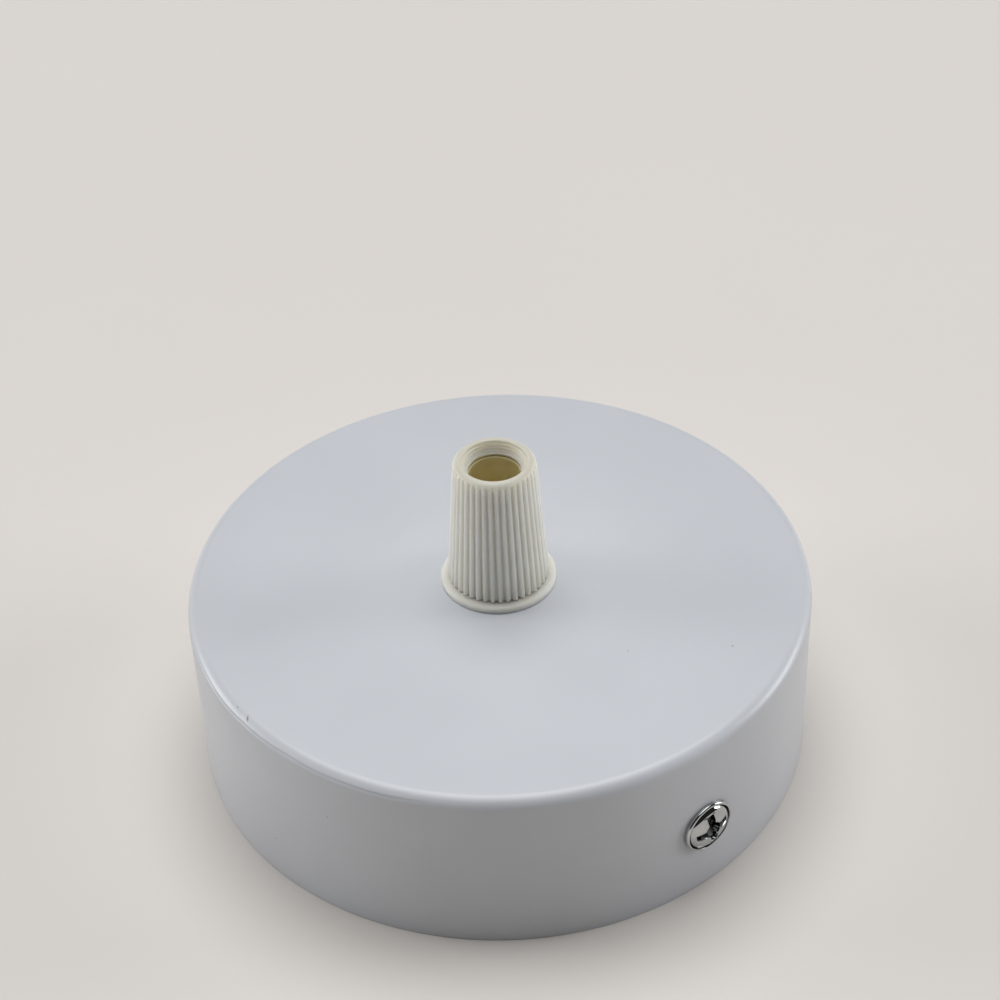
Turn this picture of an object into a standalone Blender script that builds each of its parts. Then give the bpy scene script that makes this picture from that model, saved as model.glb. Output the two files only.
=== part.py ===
"""Ceiling canopy of a pendant lamp: a drawn steel cup with a cord grip, its strap and its fasteners.

Metres, +Z up. The origin lies on the cup's axis, in the plane of its open rim, which is the
ceiling's plane once the canopy hangs. +X runs along the strap, through both side screws.
"""

import math

import bmesh
import bpy
from mathutils import Matrix

# Gap left between two pieces that touch on the real object.
seat_gap = 0.0003

# Cup, deep drawn from one sheet.
cup_diameter = 0.100
cup_height = 0.030
cup_sheet = 0.0010
cup_edge_radius = 0.0015
cup_rim_rounding = 0.0002
screw_hole_clearance = 0.00035

# Stem of the cord grip: flange on the cup, threaded neck above it, threaded tail through the cup.
stem_bore = 0.0075
neck_wall = 0.00215
neck_height = 0.0075
flange_ledge = 0.0012
flange_thickness = 0.00085
flange_rounding = 0.00035
tail_diameter = 0.0100
tail_length = 0.0100
thread_chamfer = 0.0004

# Slit collet that the cap closes round the cord.
collet_relief = 0.00025
collet_foot_wall = 0.0013
collet_tip_wall = 0.0007
collet_ring_height = 0.0025
collet_slit_width = 0.0008
collet_slit_count = 2
collet_slit_turn = 53.0

# Ribbed cap that screws onto the neck.
cap_height = 0.02215
cap_foot_wall = 0.0019
cap_top_wall = 0.00245
cap_edge_radius = 0.0008
cap_thread_runout = 0.0006
throat_relief = 0.00015
throat_depth = 0.0018
throat_land = 0.0004
mouth_flare = 0.0007
mouth_rounding = 0.0003
rib_count = 40
groove_to_pitch = 0.74

# Lock washer and hexagon nut under the cup's top.
washer_ring_width = 0.0027
washer_thickness = 0.0008
washer_notch_count = 10
washer_notch_width = 0.0012
washer_notch_depth = 0.0012
nut_wall = 0.0017
nut_height = 0.0030
nut_chamfer = 0.0004

# Strap with two upright tabs, bent from one strip.
strap_width = 0.0160
strap_sheet = 0.0015
strap_bend_radius = 0.0015
nipple_hole_clearance = 0.0003
earth_margin = 0.0016
slot_margin = 0.0010
slot_width = 0.0052
slot_length = 0.0180
tab_above_screw = 0.0055
tab_corner_radius = 0.0040

# Side screws, with a washer head and a cross recess.
side_thread_diameter = 0.0040
side_screw_length = 0.0080
side_screw_height = 0.0130
side_flange_diameter = 0.0090
side_flange_thickness = 0.00045
side_flange_step = 0.0005
side_dome_height = 0.0011
side_recess_length = 0.0060
side_recess_width = 0.0014
side_recess_depth = 0.0013
side_recess_turn = 8.0

# Earth screw and its cupped washer on the strap.
earth_thread_diameter = 0.0040
earth_flange_diameter = 0.0070
earth_flange_thickness = 0.0004
earth_flange_step = 0.0002
earth_dome_height = 0.0016
earth_recess_length = 0.0036
earth_recess_width = 0.0009
earth_recess_depth = 0.0013
earth_recess_turn = 35.0
earth_washer_thickness = 0.0006
earth_washer_rim_width = 0.0005
earth_washer_rim_height = 0.0006

# Facets.
cup_steps = 96
bore_steps = 40
small_steps = 32
hole_steps = 24
groove_sides = 8
merge_distance = 0.000002
sharp_angle = math.radians(32.0)
cutter_overrun = 0.0020

# Radii worked out from the sizes above.
cup_radius = cup_diameter / 2
cup_inner_radius = cup_radius - cup_sheet
stem_bore_radius = stem_bore / 2
neck_radius = stem_bore_radius + neck_wall
tail_radius = tail_diameter / 2
tail_hole_radius = tail_radius + seat_gap
collet_bore_radius = stem_bore_radius + collet_relief
collet_foot_radius = collet_bore_radius + collet_foot_wall
collet_tip_radius = collet_bore_radius + collet_tip_wall
throat_radius = collet_bore_radius + throat_relief
mouth_radius = throat_radius + mouth_flare
cap_foot_radius = neck_radius + seat_gap + cap_foot_wall
cap_top_radius = throat_radius + cap_top_wall
cap_slant = math.atan2(cap_foot_radius - cap_top_radius, cap_height)
flange_radius = cap_foot_radius + flange_ledge
groove_radius = groove_to_pitch * math.pi * cap_top_radius / rib_count
nut_flat_radius = tail_hole_radius + nut_wall
nipple_hole_radius = tail_radius + nipple_hole_clearance
side_hole_radius = side_thread_diameter / 2 + seat_gap
earth_hole_radius = earth_thread_diameter / 2 + seat_gap
earth_rim_inner_radius = earth_flange_diameter / 2 + seat_gap
earth_rim_radius = earth_rim_inner_radius + earth_washer_rim_width

# Places along Z.
flange_bottom = cup_height + seat_gap
flange_top = flange_bottom + flange_thickness
neck_top = flange_top + neck_height
tail_end = flange_bottom - tail_length
cap_foot = flange_top + seat_gap
cap_top = cap_foot + cap_height
throat_shoulder = cap_top - throat_depth - throat_land
collet_foot = neck_top + seat_gap
collet_tip = throat_shoulder - seat_gap
washer_top = cup_height - cup_sheet - seat_gap
washer_bottom = washer_top - washer_thickness
nut_top = washer_bottom - seat_gap
nut_bottom = nut_top - nut_height
strap_bottom = seat_gap
strap_middle = strap_bottom + strap_sheet / 2
earth_washer_bottom = strap_bottom + strap_sheet + seat_gap
earth_head_bottom = earth_washer_bottom + earth_washer_thickness + seat_gap
tab_top = side_screw_height + tab_above_screw

# Places along X. The tab's outer corners come within the gap of the cup's wall.
tab_face = math.sqrt((cup_inner_radius - seat_gap) ** 2 - (strap_width / 2) ** 2)
earth_place = nipple_hole_radius + earth_margin + earth_rim_radius
slot_middle = earth_place + earth_rim_radius + slot_margin + slot_length / 2

for old in list(bpy.data.objects):
    bpy.data.objects.remove(old, do_unlink=True)


def new_collection(name):
    collection = bpy.data.collections.new(name)
    bpy.context.scene.collection.children.link(collection)
    return collection


parts = new_collection("ceiling_canopy")
cutters = new_collection("cutters")


def linear(hex_colour):
    """Linear colour of an sRGB hex code."""
    values = []
    for i in (0, 2, 4):
        c = int(hex_colour[i : i + 2], 16) / 255
        values.append(c / 12.92 if c <= 0.04045 else ((c + 0.055) / 1.055) ** 2.4)
    return (*values, 1.0)


def new_material(name, hex_colour, roughness, metallic):
    material = bpy.data.materials.new(name)
    material.use_nodes = True
    shader = material.node_tree.nodes["Principled BSDF"]
    shader.inputs["Base Color"].default_value = linear(hex_colour)
    shader.inputs["Roughness"].default_value = roughness
    shader.inputs["Metallic"].default_value = metallic
    material.diffuse_color = linear(hex_colour)
    return material


def arc(centre_r, centre_z, radius, start, end, steps):
    """Points (r, z) of an arc, its angles in degrees from +r towards +z."""
    points = []
    for i in range(steps + 1):
        angle = math.radians(start + (end - start) * i / steps)
        points.append((centre_r + radius * math.cos(angle), centre_z + radius * math.sin(angle)))
    return points


def as_mesh(obj):
    """Replace an object's data by the mesh that its modifiers give, smooth but for its edges."""
    depsgraph = bpy.context.evaluated_depsgraph_get()
    mesh = bpy.data.meshes.new_from_object(obj.evaluated_get(depsgraph))
    obj.modifiers.clear()
    obj.data = mesh
    mesh.name = obj.name
    mesh.shade_smooth()
    mesh.set_sharp_from_angle(angle=sharp_angle)
    return obj


def turned(name, profile, steps, collection=parts, closed=True):
    """Spin (r, z) points about Z. The outer side runs down; an open profile ends on the axis."""
    count = len(profile)
    edges = [(i, i + 1) for i in range(count - 1)]
    if closed:
        edges.append((count - 1, 0))
    mesh = bpy.data.meshes.new(name)
    mesh.from_pydata([(r, 0.0, z) for r, z in profile], edges, [])
    obj = bpy.data.objects.new(name, mesh)
    collection.objects.link(obj)
    turn = obj.modifiers.new("Turn", "SCREW")
    turn.steps = steps
    turn.render_steps = steps
    turn.use_merge_vertices = True
    turn.merge_threshold = merge_distance
    return as_mesh(obj)


def from_bmesh(name, bm, collection=cutters):
    mesh = bpy.data.meshes.new(name)
    bm.to_mesh(mesh)
    bm.free()
    obj = bpy.data.objects.new(name, mesh)
    collection.objects.link(obj)
    return obj


def box(name, size, placed):
    """Box of the given size, its middle placed by a matrix."""
    bm = bmesh.new()
    bmesh.ops.create_cube(bm, size=1.0, matrix=placed @ Matrix.Diagonal((*size, 1.0)))
    return from_bmesh(name, bm)


def cylinder(name, radius, length, placed, segments=small_steps, collection=cutters):
    """Cylinder along the Z axis of the matrix that places its middle."""
    bm = bmesh.new()
    bmesh.ops.create_cone(
        bm,
        cap_ends=True,
        segments=segments,
        radius1=radius,
        radius2=radius,
        depth=length,
        matrix=placed,
    )
    return from_bmesh(name, bm, collection)


def join_shape(obj, other, operation="DIFFERENCE"):
    """Cut an object with another, or keep what both share. The other stays as a wire guide."""
    other.hide_render = True
    other.display_type = "WIRE"
    modifier = obj.modifiers.new(other.name, "BOOLEAN")
    modifier.operation = operation
    modifier.solver = "EXACT"
    modifier.object = other


def at_height(z):
    return Matrix.Translation((0.0, 0.0, z))


def turned_by(angle):
    """Turn about the Z axis, in radians."""
    return Matrix.Rotation(angle, 4, "Z")


# Turn that lays the Z axis along +X.
lay_along_x = Matrix.Rotation(math.radians(90.0), 4, "Y")


def make_cup():
    """Flat top disc with the stem's hole, rounded edge, straight wall and open rim."""
    inner_edge = max(cup_edge_radius - cup_sheet, cup_sheet / 4)
    inner_top = cup_height - cup_sheet
    rounding = cup_rim_rounding
    profile = [(tail_hole_radius, cup_height)]
    profile += arc(cup_radius - cup_edge_radius, cup_height - cup_edge_radius, cup_edge_radius, 90, 0, 5)
    profile += arc(cup_radius - rounding, rounding, rounding, 0, -90, 2)
    profile += arc(cup_inner_radius + rounding, rounding, rounding, -90, -180, 2)
    profile += arc(cup_inner_radius - inner_edge, inner_top - inner_edge, inner_edge, 0, 90, 3)
    profile += [(tail_hole_radius, inner_top)]
    cup = turned("canopy_cup", profile, cup_steps)
    through = cylinder(
        "side_screw_holes",
        side_thread_diameter / 2 + screw_hole_clearance,
        cup_diameter + 2 * cutter_overrun,
        at_height(side_screw_height) @ lay_along_x,
    )
    join_shape(cup, through)
    return cup


def make_stem():
    """Hollow stem: threaded neck, round flange and threaded tail in one moulding."""
    rounding = flange_rounding
    profile = [
        (stem_bore_radius, neck_top),
        (neck_radius - thread_chamfer, neck_top),
        (neck_radius, neck_top - thread_chamfer),
        (neck_radius, flange_top),
    ]
    profile += arc(flange_radius - rounding, flange_top - rounding, rounding, 90, 0, 3)
    profile += [
        (flange_radius, flange_bottom),
        (tail_radius, flange_bottom),
        (tail_radius, tail_end + thread_chamfer),
        (tail_radius - thread_chamfer, tail_end),
        (stem_bore_radius, tail_end),
    ]
    return turned("gland_stem", profile, bore_steps)


def make_collet():
    """Tapered ring slit from the tip, so that its fingers can close."""
    ring_top = collet_foot + collet_ring_height
    profile = [
        (collet_bore_radius, collet_tip),
        (collet_tip_radius, collet_tip),
        (collet_foot_radius, ring_top),
        (collet_foot_radius, collet_foot),
        (collet_bore_radius, collet_foot),
    ]
    collet = turned("gland_collet", profile, bore_steps)
    slit_top = collet_tip + cutter_overrun
    reach = collet_foot_radius + cutter_overrun
    middle = Matrix.Translation((reach / 2, 0.0, (slit_top + ring_top) / 2))
    for i in range(collet_slit_count):
        about = turned_by(math.radians(collet_slit_turn + 360.0 * i / collet_slit_count))
        slit = box(f"collet_slit_{i + 1}", (reach, collet_slit_width, slit_top - ring_top), about @ middle)
        join_shape(collet, slit)
    return collet


def cap_bore():
    """Inside of the cap: flared mouth, throat, clamping cone and threaded bore."""
    lip_radius = mouth_radius + mouth_rounding
    thread_radius = neck_radius + seat_gap
    thread_end = neck_top + cap_thread_runout
    profile = [(0.0, cap_top + cutter_overrun), (lip_radius, cap_top + cutter_overrun)]
    profile += arc(lip_radius, cap_top - mouth_rounding, mouth_rounding, 90, 180, 3)
    profile += [
        (throat_radius, cap_top - throat_depth),
        (throat_radius, throat_shoulder),
        (collet_tip_radius + seat_gap, throat_shoulder),
        (collet_foot_radius + seat_gap, collet_foot + collet_ring_height),
        (collet_foot_radius + seat_gap, thread_end),
        (thread_radius, thread_end),
        (thread_radius, cap_foot - cutter_overrun),
        (0.0, cap_foot - cutter_overrun),
    ]
    return turned("cap_bore", profile, bore_steps, cutters, closed=False)


def cap_grooves():
    """Round grooves along the cap's cone, one between each two ribs."""
    length = cap_height / math.cos(cap_slant) + 2 * cutter_overrun
    on_cone = Matrix.Translation(((cap_foot_radius + cap_top_radius) / 2, 0.0, (cap_foot + cap_top) / 2))
    along_cone = Matrix.Rotation(-cap_slant, 4, "Y")
    bm = bmesh.new()
    for i in range(rib_count):
        bmesh.ops.create_cone(
            bm,
            cap_ends=True,
            segments=groove_sides,
            radius1=groove_radius,
            radius2=groove_radius,
            depth=length,
            matrix=turned_by(2 * math.pi * (i + 0.5) / rib_count) @ on_cone @ along_cone,
        )
    return from_bmesh("cap_grooves", bm)


def make_cap():
    """Ribbed cone with a rounded top edge, bored from end to end."""
    edge = cap_edge_radius
    profile = [(0.0, cap_top)]
    profile += arc(cap_top_radius - edge, cap_top - edge, edge, 90, math.degrees(cap_slant), 4)
    profile += [(cap_foot_radius, cap_foot), (0.0, cap_foot)]
    cap = turned("gland_cap", profile, 2 * rib_count, closed=False)
    join_shape(cap, cap_bore())
    join_shape(cap, cap_grooves())
    return cap


def make_lock_washer():
    """Flat ring with notches round its hole, which leave the locking teeth."""
    outer_radius = tail_hole_radius + washer_ring_width
    profile = [
        (tail_hole_radius, washer_top),
        (outer_radius, washer_top),
        (outer_radius, washer_bottom),
        (tail_hole_radius, washer_bottom),
    ]
    washer = turned("lock_washer", profile, bore_steps)
    size = (2 * washer_notch_depth, washer_notch_width, washer_thickness + 2 * cutter_overrun, 1.0)
    placed = Matrix.Translation((tail_hole_radius, 0.0, (washer_top + washer_bottom) / 2))
    bm = bmesh.new()
    for i in range(washer_notch_count):
        about = turned_by(2 * math.pi * (i + 0.5) / washer_notch_count)
        bmesh.ops.create_cube(bm, size=1.0, matrix=about @ placed @ Matrix.Diagonal(size))
    join_shape(washer, from_bmesh("lock_washer_notches", bm))
    return washer


def make_lock_nut():
    """Hexagon nut, its corners turned off on both faces."""
    middle = at_height((nut_top + nut_bottom) / 2)
    corner_radius = nut_flat_radius / math.cos(math.radians(30.0))
    nut = cylinder("lock_nut", corner_radius, nut_height, middle, 6, parts)
    crown_profile = [
        (0.0, nut_top + nut_chamfer),
        (nut_flat_radius - nut_chamfer, nut_top + nut_chamfer),
        (corner_radius + nut_chamfer, nut_top - nut_chamfer),
        (corner_radius + nut_chamfer, nut_bottom + nut_chamfer),
        (nut_flat_radius - nut_chamfer, nut_bottom - nut_chamfer),
        (0.0, nut_bottom - nut_chamfer),
    ]
    join_shape(nut, turned("nut_crown", crown_profile, small_steps, cutters, closed=False), "INTERSECT")
    join_shape(nut, cylinder("nut_bore", tail_hole_radius, nut_height + 2 * cutter_overrun, middle))
    return nut


def tab_outline():
    """Rounded outline of the strip as seen along X, drawn over its whole length."""
    half = strap_width / 2
    radius = tab_corner_radius
    outline = [(-half, strap_bottom - cutter_overrun)]
    outline += arc(-half + radius, tab_top - radius, radius, 180, 90, 6)
    outline += arc(half - radius, tab_top - radius, radius, 90, 0, 6)
    outline += [(half, strap_bottom - cutter_overrun)]
    curve = bpy.data.curves.new("tab_outline", "CURVE")
    curve.dimensions = "2D"
    curve.fill_mode = "BOTH"
    curve.extrude = tab_face + cutter_overrun
    spline = curve.splines.new("POLY")
    spline.points.add(len(outline) - 1)
    for point, (y, z) in zip(spline.points, outline, strict=True):
        point.co = (y, z, 0.0, 1.0)
    spline.use_cyclic_u = True
    guide = bpy.data.objects.new("tab_outline", curve)
    cutters.objects.link(guide)
    depsgraph = bpy.context.evaluated_depsgraph_get()
    mesh = bpy.data.meshes.new_from_object(guide.evaluated_get(depsgraph))
    bpy.data.objects.remove(guide, do_unlink=True)
    bm = bmesh.new()
    bm.from_mesh(mesh)
    bmesh.ops.remove_doubles(bm, verts=bm.verts, dist=merge_distance)
    bmesh.ops.recalc_face_normals(bm, faces=bm.faces)
    stand_up = Matrix(((0, 0, 1, 0), (1, 0, 0, 0), (0, 1, 0, 0), (0, 0, 0, 1)))
    bmesh.ops.transform(bm, matrix=stand_up, verts=bm.verts)
    return from_bmesh("tab_outline", bm)


def hole_outline(place, radius, steps):
    """Outline (x, y) of a round hole on the X axis."""
    return arc(place, 0.0, radius, 0, 360, steps)[:-1]


def slot_outline(place):
    """Outline (x, y) of a fixing slot along X, with round ends."""
    radius = slot_width / 2
    reach = slot_length / 2 - radius
    return arc(place + reach, 0.0, radius, -90, 90, 8) + arc(place - reach, 0.0, radius, 90, 270, 8)


def strap_holes():
    """Nipple hole, two fixing slots and the tapped earth hole, each right through the strap."""
    outlines = (
        slot_outline(slot_middle),
        slot_outline(-slot_middle),
        hole_outline(0.0, nipple_hole_radius, small_steps),
        hole_outline(earth_place, earth_hole_radius, hole_steps),
    )
    bm = bmesh.new()
    for outline in outlines:
        base = bm.faces.new([bm.verts.new((x, y, strap_bottom - cutter_overrun)) for x, y in outline])
        lifted = bmesh.ops.extrude_face_region(bm, geom=[base])
        raised = [item for item in lifted["geom"] if isinstance(item, bmesh.types.BMVert)]
        bmesh.ops.translate(bm, verts=raised, vec=(0.0, 0.0, strap_sheet + 2 * cutter_overrun))
    bmesh.ops.recalc_face_normals(bm, faces=bm.faces)
    return from_bmesh("strap_holes", bm)


def tab_holes():
    """One bar along X that cuts the tapped hole of each tab."""
    length = 2 * (tab_face + cutter_overrun)
    return cylinder(
        "tab_holes", side_hole_radius, length, at_height(side_screw_height) @ lay_along_x, hole_steps
    )


def make_bracket():
    """Strap bent up at both ends, with its nipple hole, two fixing slots and tapped holes."""
    tab_middle = tab_face - strap_sheet / 2
    bend = strap_bend_radius + strap_sheet / 2
    path = [(0.0, strap_middle)]
    path += arc(tab_middle - bend, strap_middle + bend, bend, -90, 0, 5)
    path += [(tab_middle, tab_top + cutter_overrun)]
    half = strap_width / 2 + cutter_overrun
    bm = bmesh.new()
    near = [bm.verts.new((x, -half, z)) for x, z in path]
    far = [bm.verts.new((x, half, z)) for x, z in path]
    for i in range(len(path) - 1):
        bm.faces.new((near[i], near[i + 1], far[i + 1], far[i]))
    bracket = from_bmesh("mounting_bracket", bm, parts)
    mirror = bracket.modifiers.new("Other half", "MIRROR")
    mirror.merge_threshold = merge_distance
    sheet = bracket.modifiers.new("Sheet", "SOLIDIFY")
    sheet.thickness = strap_sheet
    sheet.offset = 0.0
    sheet.use_even_offset = True
    join_shape(bracket, tab_outline(), "INTERSECT")
    join_shape(bracket, strap_holes())
    join_shape(bracket, tab_holes())
    return bracket


def recess_arm(name, length, width, depth, turn, top, tip_drop):
    """One arm of a cross recess: a bar that narrows downwards, its ends tip_drop below the top."""
    rise = depth / 4
    floor_length = length / 3
    floor_width = 0.8 * width
    top_length = length + (length - floor_length) * (tip_drop + rise) / (depth - tip_drop)
    bm = bmesh.new()
    bmesh.ops.create_cube(bm, size=1.0)
    for vert in bm.verts:
        low = vert.co.z < 0
        vert.co.x *= floor_length if low else top_length
        vert.co.y *= floor_width if low else width
        vert.co.z = top - depth if low else top + rise
    bmesh.ops.transform(bm, matrix=turned_by(math.radians(turn)), verts=bm.verts)
    return from_bmesh(name, bm)


def recessed_screw(name, thread_diameter, length, flange, dome, recess):
    """Screw with its head up and seated at z = 0: flange, domed head and cross recess."""
    flange_diameter, flange_height = flange
    flange_step, dome_height = dome
    recess_length, recess_width, recess_depth, recess_turn = recess
    thread = thread_diameter / 2
    rim = flange_diameter / 2
    dome_radius = rim - flange_step
    edge = flange_height / 3
    crown = (dome_radius**2 + dome_height**2) / (2 * dome_height)
    spread = math.degrees(math.asin(dome_radius / crown))
    top = flange_height + dome_height
    tip_drop = crown - math.sqrt(crown**2 - (recess_length / 2) ** 2)
    profile = [(0.0, top)]
    profile += arc(0.0, top - crown, crown, 90, 90 - spread, 6)[1:]
    profile += arc(rim - edge, flange_height - edge, edge, 90, 0, 2)
    profile += [
        (rim, 0.0),
        (thread, 0.0),
        (thread, -length + thread_chamfer),
        (thread - thread_chamfer, -length),
        (0.0, -length),
    ]
    screw = turned(name, profile, small_steps, closed=False)
    for i in range(2):
        turn = recess_turn + 90 * i
        arm = recess_arm(
            f"{name}_recess_{i + 1}", recess_length, recess_width, recess_depth, turn, top, tip_drop
        )
        join_shape(screw, arm)
    return as_mesh(screw)


def make_side_screws():
    """Two equal screws on one axis, which pull the cup onto the strap's tabs."""
    right = recessed_screw(
        "side_screw_right",
        side_thread_diameter,
        side_screw_length,
        (side_flange_diameter, side_flange_thickness),
        (side_flange_step, side_dome_height),
        (side_recess_length, side_recess_width, side_recess_depth, side_recess_turn),
    )
    left = bpy.data.objects.new("side_screw_left", right.data)
    parts.objects.link(left)
    for screw, side in ((right, 1), (left, -1)):
        screw.location = (side * (cup_radius + seat_gap), 0.0, side_screw_height)
        screw.rotation_euler = (0.0, math.radians(90.0 * side), 0.0)
    return right, left


def make_earth_screw():
    """Short screw through the cupped washer, its tip flush with the strap's underside."""
    screw = recessed_screw(
        "earth_screw",
        earth_thread_diameter,
        earth_head_bottom - strap_bottom,
        (earth_flange_diameter, earth_flange_thickness),
        (earth_flange_step, earth_dome_height),
        (earth_recess_length, earth_recess_width, earth_recess_depth, earth_recess_turn),
    )
    screw.location = (earth_place, 0.0, earth_head_bottom)
    return screw


def make_earth_washer():
    """Cupped washer whose raised rim keeps the earth wire under the screw head."""
    rim_top = earth_washer_thickness + earth_washer_rim_height
    profile = [
        (earth_hole_radius, earth_washer_thickness),
        (earth_rim_inner_radius, earth_washer_thickness),
        (earth_rim_inner_radius, rim_top),
        (earth_rim_radius, rim_top),
        (earth_rim_radius, 0.0),
        (earth_hole_radius, 0.0),
    ]
    washer = turned("earth_washer", profile, small_steps)
    washer.location = (earth_place, 0.0, earth_washer_bottom)
    return washer


def build():
    white_coat = new_material("white powder coat", "D4D8DC", 0.45, 0.0)
    ivory_nylon = new_material("ivory nylon", "DAD6C4", 0.5, 0.0)
    natural_nylon = new_material("natural nylon", "A8945A", 0.45, 0.0)
    zinc = new_material("zinc plated steel", "B4B6B8", 0.35, 1.0)
    chrome = new_material("chrome plated steel", "D8D8D8", 0.12, 1.0)
    brass = new_material("brass", "C8A860", 0.3, 1.0)
    right, left = make_side_screws()
    finishes = (
        (make_cup(), white_coat),
        (make_stem(), ivory_nylon),
        (make_collet(), natural_nylon),
        (make_cap(), ivory_nylon),
        (make_lock_washer(), zinc),
        (make_lock_nut(), zinc),
        (make_bracket(), zinc),
        (make_earth_screw(), brass),
        (make_earth_washer(), brass),
        (right, chrome),
        (left, chrome),
    )
    base = bpy.data.objects.new("canopy_base", None)
    parts.objects.link(base)
    for piece, material in finishes:
        piece.parent = base
        piece.data.materials.clear()
        piece.data.materials.append(material)


build()
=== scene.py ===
# Looks of a pendant lamp's ceiling canopy: steel cup, ribbed cord grip, strap and screws.
import math

import bmesh
import bpy
import numpy as np
from mathutils import Matrix, Vector


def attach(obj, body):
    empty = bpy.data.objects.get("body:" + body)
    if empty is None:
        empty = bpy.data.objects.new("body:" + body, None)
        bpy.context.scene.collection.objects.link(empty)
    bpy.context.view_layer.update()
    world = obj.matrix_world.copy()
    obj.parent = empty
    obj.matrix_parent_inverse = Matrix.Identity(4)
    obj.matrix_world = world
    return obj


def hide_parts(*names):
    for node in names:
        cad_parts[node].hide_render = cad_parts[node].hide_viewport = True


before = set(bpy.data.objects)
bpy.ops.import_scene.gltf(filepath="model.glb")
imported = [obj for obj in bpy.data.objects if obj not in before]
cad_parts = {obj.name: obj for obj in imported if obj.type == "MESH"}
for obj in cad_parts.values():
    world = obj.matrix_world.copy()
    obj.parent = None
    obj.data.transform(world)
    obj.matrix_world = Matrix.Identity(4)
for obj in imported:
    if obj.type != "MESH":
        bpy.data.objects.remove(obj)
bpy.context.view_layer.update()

mm = 0.001  # every size below is in millimetres and is scaled once, when a mesh is made
fullTurn = 2 * math.pi
print("frame loaded with", len(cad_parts), "solids")


# Tools for the materials. A noise swings about 0.5: a colour goes from base to shade over toneSpan, and
# a roughness from low to high over glossSpan.
toneSpan = (0.35, 0.65)
glossSpan = (0.3, 0.7)


def linear(hexCode):
    # sRGB hex to linear colour: c/12.92 when dark, else ((c + 0.055)/1.055)^2.4
    c = np.array([int(hexCode[i:i + 2], 16) / 255 for i in (0, 2, 4)])
    return (*np.where(c <= 0.04045, c / 12.92, ((c + 0.055) / 1.055) ** 2.4), 1.0)


def addNode(tree, kind, sockets=None, **settings):
    # one node with its settings; a socket takes a plain value or another node's output
    node = tree.nodes.new(kind)
    for key, value in settings.items():
        setattr(node, key, value)
    for key, value in (sockets or {}).items():
        if isinstance(value, bpy.types.NodeSocket):
            tree.links.new(value, node.inputs[key])
        else:
            node.inputs[key].default_value = value
    return node.outputs


def startMaterial(name, sockets):
    # a Principled material with plain values on its shader, and the object's coordinates to draw on
    material = bpy.data.materials.new(name)
    material.use_nodes = True
    tree = material.node_tree
    shader = tree.nodes["Principled BSDF"]
    for key, value in sockets.items():
        shader.inputs[key].default_value = value
    return material, tree, shader, addNode(tree, "ShaderNodeTexCoord")["Object"]


def connect(tree, shader, sockets):
    # each output goes to the shader's socket of that name
    for key, output in sockets.items():
        tree.links.new(output, shader.inputs[key])


def perMetre(size):
    # noise scale that gives features of the given size in mm
    return 1000.0 / size


# Polyester powder coat, sprayed on drawn steel and baked: a bluish white satin. A faint orange peel
# softens its reflections, and a dust nib or a dark spot lies here and there in it.
coat = {
    "base": "CCD0D6", "shade": "C8CBD1", "nib": "8A8580", "spot": "6E6A68", "rough": (0.29, 0.34), "ior": 1.5,
    "cloud": 26.0, "peel": 1.8, "peelDepth": 0.02, "nibCell": 8.0, "nibShare": 0.9, "nibRadius": 0.10,
    "nibHeight": 0.03,
    "grit": 0.35, "gritDepth": 0.004,  # real grit is 0.03 mm, drawn ten times coarser so that it shows
    "spots": (  # x, y, z, radius and share of the spot's colour; the last four make one nick
        (36.37, 17.2, 30.0, 0.3, 0.4), (26.78, 4.16, 30.0, 0.26, 0.3), (17.35, -46.9, 20.3, 0.26, 0.4),
        (5.8, -49.7, 8.0, 0.24, 0.4),
        (-2.17, -48.82, 29.8, 0.26, 0.4), (0.44, -48.66, 29.89, 0.17, 0.5), (0.64, -48.85, 29.8, 0.19, 0.9),
        (0.85, -49.03, 29.7, 0.2, 1.0), (1.05, -49.21, 29.58, 0.17, 0.6),
    ),
}


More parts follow.
